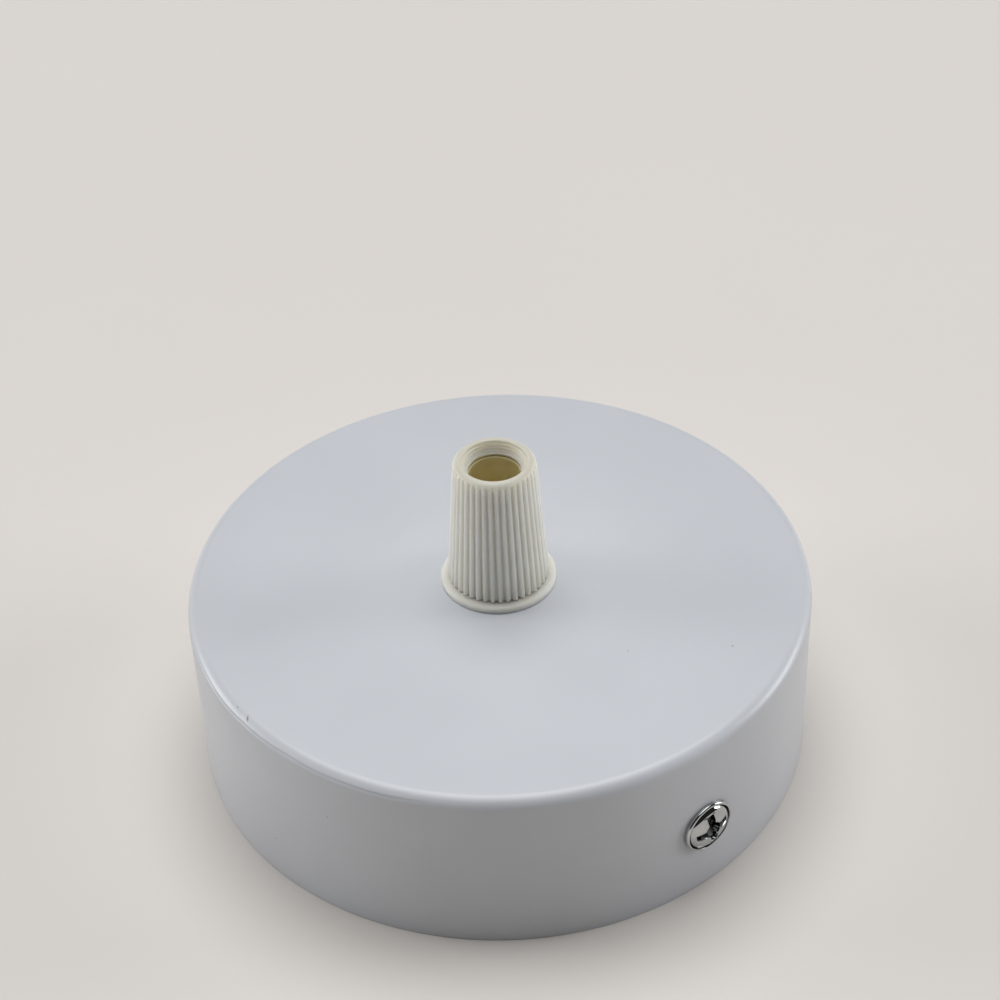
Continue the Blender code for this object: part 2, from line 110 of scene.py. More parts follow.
def powderCoatedSteel(c):
    material, tree, shader, place = startMaterial("powderCoatedSteel", {"IOR": c["ior"]})
    cloud = addNode(tree, "ShaderNodeTexNoise", {"Vector": place, "Scale": perMetre(c["cloud"])})[0]
    tone = addNode(tree, "ShaderNodeMapRange", {0: cloud, 1: toneSpan[0], 2: toneSpan[1]})[0]
    colours = {0: tone, 6: linear(c["base"]), 7: linear(c["shade"])}
    colour = addNode(tree, "ShaderNodeMix", colours, data_type="RGBA")[2]
    # a nib sits in the middle of one cell in ten
    cells = addNode(tree, "ShaderNodeTexVoronoi", {"Vector": place, "Scale": perMetre(c["nibCell"])})
    wide = c["nibRadius"] / c["nibCell"]
    near = addNode(tree, "ShaderNodeMapRange", {0: cells["Distance"], 1: wide / 2, 2: wide, 3: 1.0, 4: 0.0})[0]
    drawn = addNode(tree, "ShaderNodeSeparateColor", {0: cells["Color"]})[0]
    chosen = addNode(tree, "ShaderNodeMath", {0: drawn, 1: c["nibShare"]}, operation="GREATER_THAN")[0]
    nib = addNode(tree, "ShaderNodeMath", {0: near, 1: chosen}, operation="MULTIPLY")[0]
    colour = addNode(tree, "ShaderNodeMix", {0: nib, 6: colour, 7: linear(c["nib"])}, data_type="RGBA")[2]
    # a spot keeps its share of colour out to a third of its radius and fades to nothing at the radius
    for x, y, z, radius, share in c["spots"]:
        centre = (x * mm, y * mm, z * mm)
        away = addNode(tree, "ShaderNodeVectorMath", {0: place, 1: centre}, operation="DISTANCE")["Value"]
        fading = {0: away, 1: radius * mm / 3, 2: radius * mm, 3: share, 4: 0.0}
        mark = addNode(tree, "ShaderNodeMapRange", fading)[0]
        colour = addNode(tree, "ShaderNodeMix", {0: mark, 6: colour, 7: linear(c["spot"])}, data_type="RGBA")[2]
    ripples = {"Vector": place, "Scale": perMetre(c["peel"]), "Detail": 1.0}
    peel = addNode(tree, "ShaderNodeTexNoise", ripples)[0]
    grit = addNode(tree, "ShaderNodeTexNoise", {"Vector": place, "Scale": perMetre(c["grit"])})[0]
    relief = {}  # each bump lies on the one before it
    for height, depth in ((peel, c["peelDepth"]), (grit, c["gritDepth"]), (nib, c["nibHeight"])):
        bump = addNode(tree, "ShaderNodeBump", {"Height": height, "Distance": depth * mm, **relief})
        relief = {"Normal": bump[0]}
    low, high = c["rough"]
    gloss = {0: cloud, 1: glossSpan[0], 2: glossSpan[1], 3: low, 4: high}
    rough = addNode(tree, "ShaderNodeMapRange", gloss)[0]
    connect(tree, shader, {"Base Color": colour, "Roughness": rough, **relief})
    return material


# Polyamide, injection moulded. The grip is dyed ivory: satin, with painted shade on its lip, flange top,
# mouth and grooves. The collet is undyed, so it is olive amber and clearer. In both, light goes a little way
# in.
ivory = {
    "base": "F7F6ED", "shade": "F3F1E7", "paintedShadeColour": "9C998A", "paintedShadeShare": 0.55, "rough": (0.40, 0.50),
    "ior": 1.53, "scatter": 1.0, "reach": (1.0, 0.93, 0.8), "depth": 2.0, "cloud": 5.0, "skin": 0.45,
    "skinDepth": 0.004,
}
natural = {
    "base": "F2E2AE", "shade": "EAD69C", "paintedShadeColour": "8A7838", "paintedShadeShare": 0.0, "rough": (0.32, 0.44),
    "ior": 1.53, "scatter": 0.6, "reach": (1.0, 0.85, 0.4), "depth": 3.0, "cloud": 2.5, "skin": 0.4,
    "skinDepth": 0.006,
}


def mouldedNylon(name, c):
    sockets = {"IOR": c["ior"], "Subsurface Weight": c["scatter"], "Subsurface Radius": c["reach"],
               "Subsurface Scale": c["depth"] * mm}
    material, tree, shader, place = startMaterial(name, sockets)
    cloud = addNode(tree, "ShaderNodeTexNoise", {"Vector": place, "Scale": perMetre(c["cloud"])})[0]
    tone = addNode(tree, "ShaderNodeMapRange", {0: cloud, 1: toneSpan[0], 2: toneSpan[1]})[0]
    colours = {0: tone, 6: linear(c["base"]), 7: linear(c["shade"])}
    colour = addNode(tree, "ShaderNodeMix", colours, data_type="RGBA")[2]
    # painted shade: each point's weight mixes in a darker tint, on the grip's lip, flange top, mouth and
    # grooves
    paintedShade = addNode(tree, "ShaderNodeAttribute", attribute_name="paintedShade")["Fac"]
    paintedShadeWeight = addNode(tree, "ShaderNodeMath", {0: paintedShade, 1: c["paintedShadeShare"]}, operation="MULTIPLY")[0]
    colour = addNode(tree, "ShaderNodeMix", {0: paintedShadeWeight, 6: colour, 7: linear(c["paintedShadeColour"])}, data_type="RGBA")[2]
    texture = {"Vector": place, "Scale": perMetre(c["skin"]), "Detail": 3.0}
    skin = addNode(tree, "ShaderNodeTexNoise", texture)[0]
    normal = addNode(tree, "ShaderNodeBump", {"Height": skin, "Distance": c["skinDepth"] * mm})[0]
    low, high = c["rough"]
    gloss = {0: skin, 1: glossSpan[0], 2: glossSpan[1], 3: low, 4: high}
    rough = addNode(tree, "ShaderNodeMapRange", gloss)[0]
    connect(tree, shader, {"Base Color": colour, "Roughness": rough, "Normal": normal})
    return material


# Zinc plate on cold-rolled strip: cool grey, rolling lines along the strip, faint straw clouds.
zinc = {
    "base": "C3C6C8", "shade": "B9BAB2", "paintedShade": "8C8E90", "rough": (0.29, 0.38), "brushed": 0.3,
    "cloud": 7.0, "grain": 0.5, "stretch": (0.08, 1.0, 1.0), "grainDepth": 0.004,
}
# Decorative chrome over nickel: a dark mirror with a few fine scuffs, and a dark grey for painted shade in the
# recess.
chrome = {
    "base": "C2C5C6", "shade": "B4B6B7", "paintedShade": "3E4143", "rough": (0.05, 0.10), "brushed": 0.0,
    "cloud": 2.0, "grain": 0.6, "stretch": (1.0, 1.0, 1.0), "grainDepth": 0.0015,
}
# Free-cutting brass, turned and left bare: yellow with a slight brown tarnish, and a dark brown for painted
# shade.
brass = {
    "base": "D0AE68", "shade": "B8934E", "paintedShade": "7A6034", "rough": (0.29, 0.34), "brushed": 0.0,
    "cloud": 2.5, "grain": 0.4, "stretch": (1.0, 1.0, 3.0), "grainDepth": 0.003,
}


def metalSkin(name, c):
    # two close tints in clouds, a rolled or turned grain, uneven polish, and painted shade where a piece's
    # points ask for it
    material, tree, shader, place = startMaterial(name, {"Metallic": 1.0, "Anisotropic": c["brushed"]})
    clouds = {"Vector": place, "Scale": perMetre(c["cloud"]), "Detail": 3.0}
    cloud = addNode(tree, "ShaderNodeTexNoise", clouds)[0]
    tone = addNode(tree, "ShaderNodeMapRange", {0: cloud, 1: toneSpan[0], 2: toneSpan[1]})[0]
    colours = {0: tone, 6: linear(c["base"]), 7: linear(c["shade"])}
    colour = addNode(tree, "ShaderNodeMix", colours, data_type="RGBA")[2]
    # painted shade: each point's weight mixes in the darker tint
    paintedShade = addNode(tree, "ShaderNodeAttribute", attribute_name="paintedShade")["Fac"]
    colour = addNode(tree, "ShaderNodeMix", {0: paintedShade, 6: colour, 7: linear(c["paintedShade"])}, data_type="RGBA")[2]
    drawnOut = addNode(tree, "ShaderNodeMapping", {"Vector": place, "Scale": c["stretch"]})[0]
    texture = {"Vector": drawnOut, "Scale": perMetre(c["grain"]), "Detail": 4.0}
    grain = addNode(tree, "ShaderNodeTexNoise", texture)[0]
    normal = addNode(tree, "ShaderNodeBump", {"Height": grain, "Distance": c["grainDepth"] * mm})[0]
    low, high = c["rough"]
    gloss = {0: grain, 1: glossSpan[0], 2: glossSpan[1], 3: low, 4: high}
    rough = addNode(tree, "ShaderNodeMapRange", gloss)[0]
    connect(tree, shader, {"Base Color": colour, "Roughness": rough, "Normal": normal})
    return material


coatLook = powderCoatedSteel(coat)
ivoryLook = mouldedNylon("ivoryNylon", ivory)
naturalLook = mouldedNylon("naturalNylon", natural)
zincLook = metalSkin("zincPlatedSteel", zinc)
chromeLook = metalSkin("chromePlatedSteel", chrome)
brassLook = metalSkin("turnedBrass", brass)
print("materials ready")


# Tools for the meshes
weld = 2e-7  # metres; points nearer than this become one
crease = 40.0  # degrees; a sharper fold counts as an edge
threadForm = {"root": 0.2, "flank": 0.6}  # shares of half a pitch, and the crest takes the rest


def ringPoints(angle, r, z):
    # turned form: x = r cos a, y = r sin a, z, for each column's angle a and each row of the profile
    angle, r, z = np.broadcast_arrays(angle, r, z)
    return np.stack([r * np.cos(angle), r * np.sin(angle), z], -1)


def columns(count):
    # a full turn in equal steps, one row of the array for each column of the mesh
    return np.arange(count)[:, None] * fullTurn / count


def wrapped(angle):
    # the same angle between -pi and pi
    return (angle + math.pi) % fullTurn - math.pi


def bow(centreR, centreZ, radius, start, end, steps):
    # arc of a circle: r = centre + radius cos a, z = centre + radius sin a, a in degrees
    a = np.radians(np.linspace(start, end, steps + 1))
    return np.stack([centreR + radius * np.cos(a), centreZ + radius * np.sin(a)], -1)


def run(r0, z0, r1, z1, steps=1):
    # straight run of a profile in equal steps
    return np.linspace((r0, z0), (r1, z1), steps + 1)


def chain(*runs):
    # profile runs end to end, without the points that repeat
    points = np.concatenate(runs)
    fresh = np.hypot(*(points[1:] - points[:-1]).T) > 1e-6
    return points[np.concatenate([[True], fresh])]


def ease(x):
    # 0 below 0, 1 above 1, and 3x^2 - 2x^3 between
    x = np.clip(x, 0, 1)
    return x * x * (3 - 2 * x)


def gridFaces(nu, nv, wrapU, wrapV):
    # cell (i, j) joins corners (i, j), (i+1, j), (i+1, j+1), (i, j+1); a wrapped way joins last to first
    i, j = np.meshgrid(np.arange(nu - (not wrapU)), np.arange(nv - (not wrapV)), indexing="ij")
    i2, j2 = (i + 1) % nu, (j + 1) % nv
    return np.stack([i * nv + j, i2 * nv + j, i2 * nv + j2, i * nv + j2], -1).reshape(-1, 4)


def sheetFaces(keep, wrapU):
    # two skins of the kept cells, the second one turned round, and a wall wherever a kept cell ends
    cu, cv = keep.shape
    nv = cv + 1
    nu = cu + (not wrapU)
    layer = nu * nv
    i, j = np.nonzero(keep)
    a, b, c, d = (((i + di) % nu) * nv + j + dj for di, dj in ((0, 0), (1, 0), (1, 1), (0, 1)))
    faces = [np.stack([a, b, c, d], -1), np.stack([d, c, b, a], -1) + layer]
    padded = np.pad(keep, 1)
    if wrapU:
        padded[0, 1:-1] = keep[-1]
        padded[-1, 1:-1] = keep[0]
    for di, dj, first, second in ((-1, 0, d, a), (1, 0, b, c), (0, -1, a, b), (0, 1, c, d)):
        ends = ~padded[i + 1 + di, j + 1 + dj]
        p, q = first[ends], second[ends]
        faces.append(np.stack([q, p, p + layer, q + layer], -1))
    return np.concatenate(faces)


def roundHole(u, v, hole):
    # square rings of cells become circles: the ring at the block's edge is the hole itself, and the
    # push fades to nothing over the spread outside it; a core draws the hole out into a slot along u
    du = u - hole["u"]
    core = np.clip(du, -hole["core"], hole["core"])
    du, dv = (du - core) / hole["block"], (v - hole["v"]) / hole["block"]
    ring = np.maximum(np.abs(du), np.abs(dv))
    share = ease((1 + hole["spread"] - ring) / hole["spread"])
    grow = (1 - share) * hole["block"] + share * hole["radius"] * ring / np.maximum(np.hypot(du, dv), 1e-9)
    newU = np.where(share > 0, hole["u"] + core + du * grow, u)
    newV = np.where(share > 0, hole["v"] + dv * grow, v)
    return newU, newV, ring


def cellsOutside(ring):
    # a cell is kept unless all its corners lie on or inside the hole's block
    inside = ring < 1 + 1e-6
    return ~(inside[:-1, :-1] & inside[1:, :-1] & inside[1:, 1:] & inside[:-1, 1:])


def threadWave(turns):
    # one thread: 1 on the crest, 0 in the root, with straight flanks between
    away = np.abs((turns % 1.0) * 2 - 1)
    return np.clip((away - threadForm["root"]) / threadForm["flank"], 0, 1)


def makePiece(name, points, faces, look, ride, smooth=crease, paintedShade=None):
    # ride: the body that the piece moves with, its material slot and the solid that it replaces;
    # smooth: folds up to this angle look round; the last argument: how much painted shade each point takes
    used, corners = np.unique(faces, return_inverse=True)
    mesh = bpy.data.meshes.new(name)
    mesh.vertices.add(len(used))
    mesh.vertices.foreach_set("co", (points.reshape(-1, 3)[used] * mm).ravel())
    mesh.loops.add(corners.size)
    mesh.loops.foreach_set("vertex_index", corners.ravel())
    mesh.polygons.add(len(faces))
    mesh.polygons.foreach_set("loop_start", np.arange(0, corners.size, 4))
    mesh.update(calc_edges=True)
    # the per-point weight of painted shade is kept as a point attribute
    if paintedShade is not None:
        mesh.attributes.new("paintedShade", "FLOAT", "POINT").data.foreach_set("value", paintedShade.ravel()[used])
    clean = bmesh.new()
    clean.from_mesh(mesh)
    bmesh.ops.remove_doubles(clean, verts=clean.verts, dist=weld)
    bmesh.ops.recalc_face_normals(clean, faces=clean.faces)
    clean.to_mesh(mesh)
    clean.free()
    mesh.shade_smooth()
    mesh.set_sharp_from_angle(angle=math.radians(smooth))
    mesh.materials.append(look)
    piece = bpy.data.objects.new(name, mesh)
    bpy.context.scene.collection.objects.link(piece)
    body, slot, node = ride
    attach(piece, body)
    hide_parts(node)
    print("made", name, "with", len(mesh.polygons), "faces")
    return piece


def softenEdges(piece, width):
    # two faces round off every sharp edge, width in mm
    bevel = piece.modifiers.new("softEdges", "BEVEL")
    bevel.width = width * mm
    bevel.segments = 2
    bevel.limit_method = "ANGLE"
    bevel.angle_limit = math.radians(crease)


# Cup. The solids keep 0.3 mm between pieces that touch; here such pieces reach down to their seats.
cup = {
    "radius": 50.0, "height": 30.0, "sheet": 1.0, "edge": 2.0, "rim": 0.18, "screwHole": 2.35,
    "screwHeight": 13.0, "columns": 640, "edgeRows": 24, "holeCells": 4, "upperRows": 6, "lowerRows": 5,
    "discRings": (5.3, 7.0, 9.5, 13.0, 18.0, 24.0, 31.0, 38.0, 43.0, 46.0, 48.0),
    "smooth": 50.0, "ride": ("canopy", "powder_coated_steel", "canopy_cup"),
}
# Sag line of the coat on the rounded edge: its middle, half length and fade in degrees round the cup,
# its place in degrees on the edge, then the groove and the soft bead above it.
sag = {
    "middle": -82.0, "half": 25.0, "fade": 8.0, "onEdge": 29.5, "depth": 0.07, "width": 0.12,
    "beadHeight": 0.03, "beadWidth": 0.22, "beadAway": 0.35, "sway": 0.08, "swayWaves": (11, 29),
}
# Lumps in the coat: degrees round the cup, degrees on the edge, half length, half width, height.
lumps = ((-89.7, 60.0, 0.4, 0.25, 0.05), (45.7, 33.0, 0.55, 0.4, 0.2), (-92.4, 56.0, 0.5, 0.3, 0.03))


def sagRelief(angle, tilt, edge):
    # height over the edge: bead less groove, both bell curves e^-(d/width)^2 across the line, plus lumps;
    # the line sways with two sines of the angle
    slow, fast = sag["swayWaves"]
    sway = sag["sway"] * (np.sin(angle * slow + 1) + np.sin(angle * fast) / 2)
    off = (tilt - math.radians(sag["onEdge"])) * edge + sway
    away = np.abs(wrapped(angle - math.radians(sag["middle"])))
    window = ease((math.radians(sag["half"] + sag["fade"]) - away) / math.radians(sag["fade"]))
    groove = sag["depth"] * np.exp(-((off / sag["width"]) ** 2))
    bead = sag["beadHeight"] * np.exp(-(((off - sag["beadAway"]) / sag["beadWidth"]) ** 2))
    height = window * (bead - groove)
    for around, onEdge, halfLength, halfWidth, tall in lumps:
        along = wrapped(angle - math.radians(around)) * cup["radius"]
        across = (tilt - math.radians(onEdge)) * edge
        height = height + tall * np.exp(-((along / halfLength) ** 2) - (across / halfWidth) ** 2)
    onEdgeOnly = (tilt > 0) & (tilt < math.radians(89))  # the wall has tilt 0 and the disc 90 degrees
    return height * onEdgeOnly


def makeCup(c):
    # outer skin: flat disc, quarter circle, straight wall; inner skin: the same, one sheet further in
    pitch = fullTurn * c["radius"] / c["columns"]
    shoulder, inward = c["height"] - c["edge"], c["radius"] - c["edge"]
    reach = 2 * c["holeCells"] * pitch  # the push round a screw hole ends here
    high, low = c["screwHeight"] + reach, c["screwHeight"] - reach
    disc = np.array(c["discRings"])
    turn = np.radians(np.linspace(90, 0, c["edgeRows"] + 1))[1:]
    wall = np.concatenate([
        np.linspace(shoulder, high, c["upperRows"] + 1)[1:],
        np.linspace(high, low, 4 * c["holeCells"] + 1)[1:],
        np.linspace(low, 0, c["lowerRows"] + 1)[1:],
    ])
    tilt = np.concatenate([np.full(len(disc), math.pi / 2), turn, np.zeros(len(wall))])
    r = np.concatenate([disc, inward + c["edge"] * np.cos(turn), np.full(len(wall), c["radius"])])
    z = np.concatenate([np.full(len(disc), c["height"]), shoulder + c["edge"] * np.sin(turn), wall])
    angle = columns(c["columns"])
    relief = sagRelief(angle, tilt, c["edge"])
    hole = {"u": 0.0, "v": c["screwHeight"], "core": 0.0, "radius": c["screwHole"],
            "block": c["holeCells"] * pitch, "spread": 1.0}
    keep = np.ones((c["columns"], len(r) - 1), bool)
    skins = []
    for lift in (relief, relief * 0 - c["sheet"]):
        skinR, skinZ, skinAngle = r + lift * np.cos(tilt), z + lift * np.sin(tilt), angle + lift * 0
        for side in (0.0, math.pi):
            u = wrapped(skinAngle - side) * c["radius"]
            newU, skinZ, ring = roundHole(u, skinZ, hole)
            skinAngle = side + newU / c["radius"]
            keep &= cellsOutside(np.concatenate([ring, ring[:1]]))
        skins.append(ringPoints(skinAngle, skinR, skinZ))
    piece = makePiece("cupShell", np.stack(skins), sheetFaces(keep, True), coatLook, c["ride"], c["smooth"])
    softenEdges(piece, c["rim"])


makeCup(cup)


# Stem of the cord grip, with right-handed threads on its neck and on its tail
stem = {
    "bore": 3.75, "boreEdge": 0.25, "neckTop": 38.65, "neckRadius": 5.9, "tailRadius": 5.0, "tailEnd": 20.3,
    "chamfer": 0.4, "flangeTop": 31.15, "flangeFoot": 30.02, "flangeRadius": 9.3, "flangeEdge": 0.65,
    "flangeSlope": 0.12, "footEdge": 0.08, "fillet": 0.2, "columns": 144, "neckRows": 40, "tailRows": 78,
    "neckPitch": 1.5, "tailPitch": 1.0, "threadDepth": 0.5, "threadFade": 0.8, "play": 0.12,
    "brimPaintedShade": 0.45, "smooth": 38.0, "ride": ("canopy", "ivory_nylon", "gland_stem"),
}


def neckThread(angle, z):
    # screw line: z / pitch less the turns made; the radius swings between root and crest
    return stem["neckRadius"] - stem["threadDepth"] * (1 - threadWave(z / stem["neckPitch"] - angle / fullTurn))


def tailThread(angle, z):
    # the same screw line with the tail's radius and pitch
    return stem["tailRadius"] - stem["threadDepth"] * (1 - threadWave(z / stem["tailPitch"] - angle / fullTurn))


def makeStem(s):
    # closed profile turned about Z: threaded neck, flange with a rounded edge, threaded tail, bore
    neck, tail, edge, cut, fillet = s["neckRadius"], s["tailRadius"], s["flangeEdge"], s["chamfer"], s["fillet"]
    brim, sloped = s["flangeRadius"], s["flangeTop"] - s["flangeSlope"]
    profile = chain(
        run(s["bore"] + s["boreEdge"], s["neckTop"], neck - cut, s["neckTop"]),
        run(neck - cut, s["neckTop"], neck, s["neckTop"] - cut),
        run(neck, s["neckTop"] - cut, neck, s["flangeTop"] + fillet, s["neckRows"]),
        bow(neck + fillet, s["flangeTop"] + fillet, fillet, 180, 270, 3),
        run(neck + fillet, s["flangeTop"], brim - edge, sloped, 3),
        bow(brim - edge, sloped - edge, edge, 90, 0, 6),
        run(brim, sloped - edge, brim, s["flangeFoot"] + s["footEdge"]),
        run(brim - s["footEdge"], s["flangeFoot"], tail, s["flangeFoot"], 2),
        run(tail, s["flangeFoot"], tail, s["tailEnd"] + cut, s["tailRows"]),
        run(tail, s["tailEnd"] + cut, tail - cut, s["tailEnd"]),
        run(tail - cut, s["tailEnd"], s["bore"] + s["boreEdge"], s["tailEnd"]),
        run(s["bore"], s["tailEnd"] + s["boreEdge"], s["bore"], s["neckTop"] - s["boreEdge"], 4),
    )
    r, z = profile.T
    angle = columns(s["columns"])
    onNeck = (r > neck - cut - 0.01) & (r < neck + 0.01) & (z > s["flangeTop"] + fillet)
    onTail = (r > tail - cut - 0.01) & (r < tail + 0.01) & (z < s["flangeFoot"])
    neckFade = ease((z - s["flangeTop"] - fillet) / s["threadFade"])
    tailFade = ease((s["flangeFoot"] - z) / s["threadFade"])
    neckShape = np.minimum(r, neck - neckFade * (neck - neckThread(angle, z)))
    tailShape = np.minimum(r, tail - tailFade * (tail - tailThread(angle, z)))
    shaped = np.where(onNeck, neckShape, np.where(onTail, tailShape, r))
    onFlange = (z > s["flangeFoot"] + s["footEdge"]) & (z < s["flangeTop"] + fillet / 2) & (r > neck)
    # painted shade: all over the flange's top, less on its brim
    paintedShadeWeight = onFlange * (s["brimPaintedShade"] + (1 - s["brimPaintedShade"]) * ease((z - sloped) / s["flangeSlope"]))
    paintedShadeWeight = paintedShadeWeight + 0 * shaped
    faces = gridFaces(s["columns"], len(r), True, True)
    makePiece("gripStem", ringPoints(angle, shaped, z), faces, ivoryLook, s["ride"], s["smooth"], paintedShadeWeight)


makeStem(stem)


# Collet that the cap closes round the cord
collet = {
    "foot": 38.67, "ringTop": 41.45, "tip": 51.1, "bore": 4.0, "footRadius": 5.3, "tipRadius": 4.7,
    "slits": 2, "slitHalf": 0.4, "slitTurn": 53.0, "fingerCells": 40, "ringRows": 4, "fingerRows": 40,
    "toothDepth": 0.12, "toothPitch": 1.0, "toothEnd": 47.0, "toothFade": 0.5, "rounding": 0.07,
    "ride": ("collet", "natural_nylon", "gland_collet"),
}


def makeCollet(c):
    # outer skin is a cone, inner skin a bore with low zigzag teeth; the slits' cells are left out
    z = np.concatenate([np.linspace(c["foot"], c["ringTop"], c["ringRows"]),
                        np.linspace(c["ringTop"], c["tip"], c["fingerRows"])[1:]])
    outer = np.interp(z, (c["ringTop"], c["tip"]), (c["footRadius"], c["tipRadius"]))
    toothed = ease((z - c["ringTop"]) / c["toothFade"]) * ease((c["toothEnd"] - z) / c["toothFade"])
    inner = c["bore"] + c["toothDepth"] * toothed * np.abs((z / c["toothPitch"]) % 1.0 * 2 - 1)
    sector = fullTurn / c["slits"]
    steps = np.linspace(0, 1, c["fingerCells"] + 1)[:, None]
    skins = []
    for r in (outer, inner):
        edge = np.arcsin(c["slitHalf"] / r)[None]
        finger = np.concatenate([0 * edge, edge + steps * (sector - 2 * edge)])
        whole = np.concatenate([finger + k * sector for k in range(c["slits"])])
        skins.append(ringPoints(whole + math.radians(c["slitTurn"]), r, z))
    perSector = c["fingerCells"] + 2
    column = np.arange(c["slits"] * perSector) % perSector
    inSlit = (column == 0) | (column == perSector - 1)
    keep = ~(inSlit[:, None] & (z[:-1] >= c["ringTop"] - 1e-6)[None])
    piece = makePiece("clampCollet", np.stack(skins), sheetFaces(keep, True), naturalLook, c["ride"])
    softenEdges(piece, c["rounding"])


makeCollet(collet)


# Ribbed cap of the cord grip
cap = {
    "foot": 31.18, "coneFoot": 31.45, "top": 53.6, "footRadius": 8.1, "topRadius": 6.6, "edge": 1.2,
    "footEdge": 0.25, "ribs": 40, "perRib": 12, "grooveDepth": 0.5, "grooveHalf": 0.42, "grooveTop": 0.7,
    "grooveFade": 0.7, "knee": 0.86, "lip": 0.3, "mouth": 5.02, "throat": 4.15, "throatTop": 51.8,
    "shoulder": 51.4, "ledge": 0.15, "flareRows": 30, "rings": 3, "ringHeight": 0.03, "coneTip": 5.0,
    "coneWide": 5.6, "coneEnd": 41.45, "threadEnd": 39.25, "threadRows": 42, "groovePaintedShade": 0.45,
    "flarePaintedShade": 0.55, "smooth": 60.0, "ride": ("grip_cap", "ivory_nylon", "gland_cap"),
}


def makeCap(c):
    # outer skin: cone r(z) less a groove wave of the angle; then the flared mouth with low mould rings,
    # the throat, the clamping cone and the threaded bore, all in one closed profile turned about Z
    top, edge, lip, throat, ledge, wide = c["top"], c["edge"], c["lip"], c["throat"], c["ledge"], c["coneWide"]
    slant = math.atan2(c["footRadius"] - c["topRadius"], top - c["coneFoot"])
    upperR = c["topRadius"] - edge + edge * math.cos(slant)
    upperZ = top - edge + edge * math.sin(slant)
    kneeR = c["footRadius"] + (upperR - c["footRadius"]) * c["knee"]
    kneeZ = c["foot"] + (upperZ - c["foot"]) * c["knee"]
    skin = chain(
        run(c["footRadius"] - c["footEdge"], c["foot"], c["footRadius"], c["foot"] + c["footEdge"], 2),
        run(c["footRadius"], c["foot"] + c["footEdge"], kneeR, kneeZ, 5),
        run(kneeR, kneeZ, upperR, upperZ, 14),
        bow(c["topRadius"] - edge, top - edge, edge, math.degrees(slant), 90, 9),
    )
    flare = run(c["mouth"], top - lip, throat + ledge, c["throatTop"] + ledge / 2, c["flareRows"])
    flare[:, 0] += c["ringHeight"] * np.sin(np.linspace(0, c["rings"] * fullTurn, len(flare)))
    inside = chain(
        bow(c["mouth"] + lip, top - lip, lip, 90, 180, 5),
        flare,
        bow(throat + ledge, c["throatTop"] - ledge, ledge, 100, 180, 3),
        run(throat, c["throatTop"] - ledge, throat, c["shoulder"]),
        run(throat, c["shoulder"], c["coneTip"], c["shoulder"]),
        run(c["coneTip"], c["shoulder"], wide, c["coneEnd"], 3),
        run(wide, c["coneEnd"], wide, c["threadEnd"]),
        run(wide, c["threadEnd"], wide, c["foot"] + lip, c["threadRows"]),
        run(wide, c["foot"] + lip, wide + lip, c["foot"]),
    )
    r, z = np.concatenate([skin, inside]).T
    count = c["ribs"] * c["perRib"]
    angle = columns(count)
    onSkin = np.arange(len(r)) < len(skin)
    phase = (angle * c["ribs"] / fullTurn) % 1.0
    wave = 0.5 + 0.5 * np.cos(math.pi * np.clip(np.abs(phase - 0.5) / c["grooveHalf"], 0, 1))
    cut = wave * onSkin * ease((top - c["grooveTop"] + c["grooveFade"] / 2 - z) / c["grooveFade"])
    inThread = (np.abs(r - wide) < 1e-6) & (z < c["threadEnd"] + 1e-6) & ~onSkin
    shaped = np.where(inThread, neckThread(angle, z) + stem["play"], r - c["grooveDepth"] * cut)
    # painted shade: all over the lip, less down the flare, least in the grooves
    inFlare = ~onSkin & (z > c["throatTop"])
    onLip = ease((z - top + edge) / edge)
    paintedShadeWeight = np.maximum(c["groovePaintedShade"] * cut, np.maximum(c["flarePaintedShade"] * inFlare, onLip))
    faces = gridFaces(count, len(r), True, True)
    makePiece("ribbedCap", ringPoints(angle, shaped, z), faces, ivoryLook, c["ride"], c["smooth"], paintedShadeWeight)


makeCap(cap)


# Lock washer and lock nut under the cup's top
washer = {
    "foot": 27.9, "top": 28.98, "inner": 5.3, "outer": 8.0, "notches": 10, "notchHalf": 0.6, "notchEnd": 6.5,
    "toothCells": 4, "toothRings": 5, "bodyRings": 4, "twist": 0.16, "rounding": 0.08,
    "ride": ("canopy", "zinc_plated_steel", "lock_washer"),
}


def makeLockWasher(w):
    # flat ring with inner teeth: the notches' cells are left out, each tooth is tipped about its radius
    r = np.concatenate([np.linspace(w["inner"], w["notchEnd"], w["toothRings"]),
                        np.linspace(w["notchEnd"], w["outer"], w["bodyRings"])[1:]])
    edge = np.arcsin(w["notchHalf"] / r)
    share = fullTurn / w["notches"]
    steps = np.linspace(0, 1, w["toothCells"] + 1)[:, None]
    tooth = np.concatenate([0 * edge[None], edge + steps * (share - 2 * edge)])
    angle = np.concatenate([tooth + k * share for k in range(w["notches"])]) + share / 2
    lean = np.concatenate([[0.0], np.linspace(-1, 1, w["toothCells"] + 1)])
    lean = np.tile(lean, w["notches"])[:, None] * ease(w["notchEnd"] - r) * w["twist"]
    heights = (w["top"] - w["twist"], w["foot"] + w["twist"])
    skins = [ringPoints(angle, r, height + lean) for height in heights]
    perTooth = w["toothCells"] + 2
    column = np.arange(w["notches"] * perTooth) % perTooth
    inNotch = (column == 0) | (column == perTooth - 1)
    keep = ~(inNotch[:, None] & (r[:-1] < w["notchEnd"] - 1e-6)[None])
    piece = makePiece("lockWasher", np.stack(skins), sheetFaces(keep, True), zincLook, w["ride"])
    softenEdges(piece, w["rounding"])


makeLockWasher(washer)

nut = {
    "foot": 24.6, "top": 27.88, "flat": 7.0, "crown": 6.85, "crownSlope": 1.73, "columns": 168, "chamfer": 0.5,
    "drops": (0.0, 0.1, 0.2, 0.3, 0.4, 0.5, 0.6, 0.72), "threadRows": 20, "smooth": 25.0,
    "ride": ("canopy", "zinc_plated_steel", "lock_nut"),
}


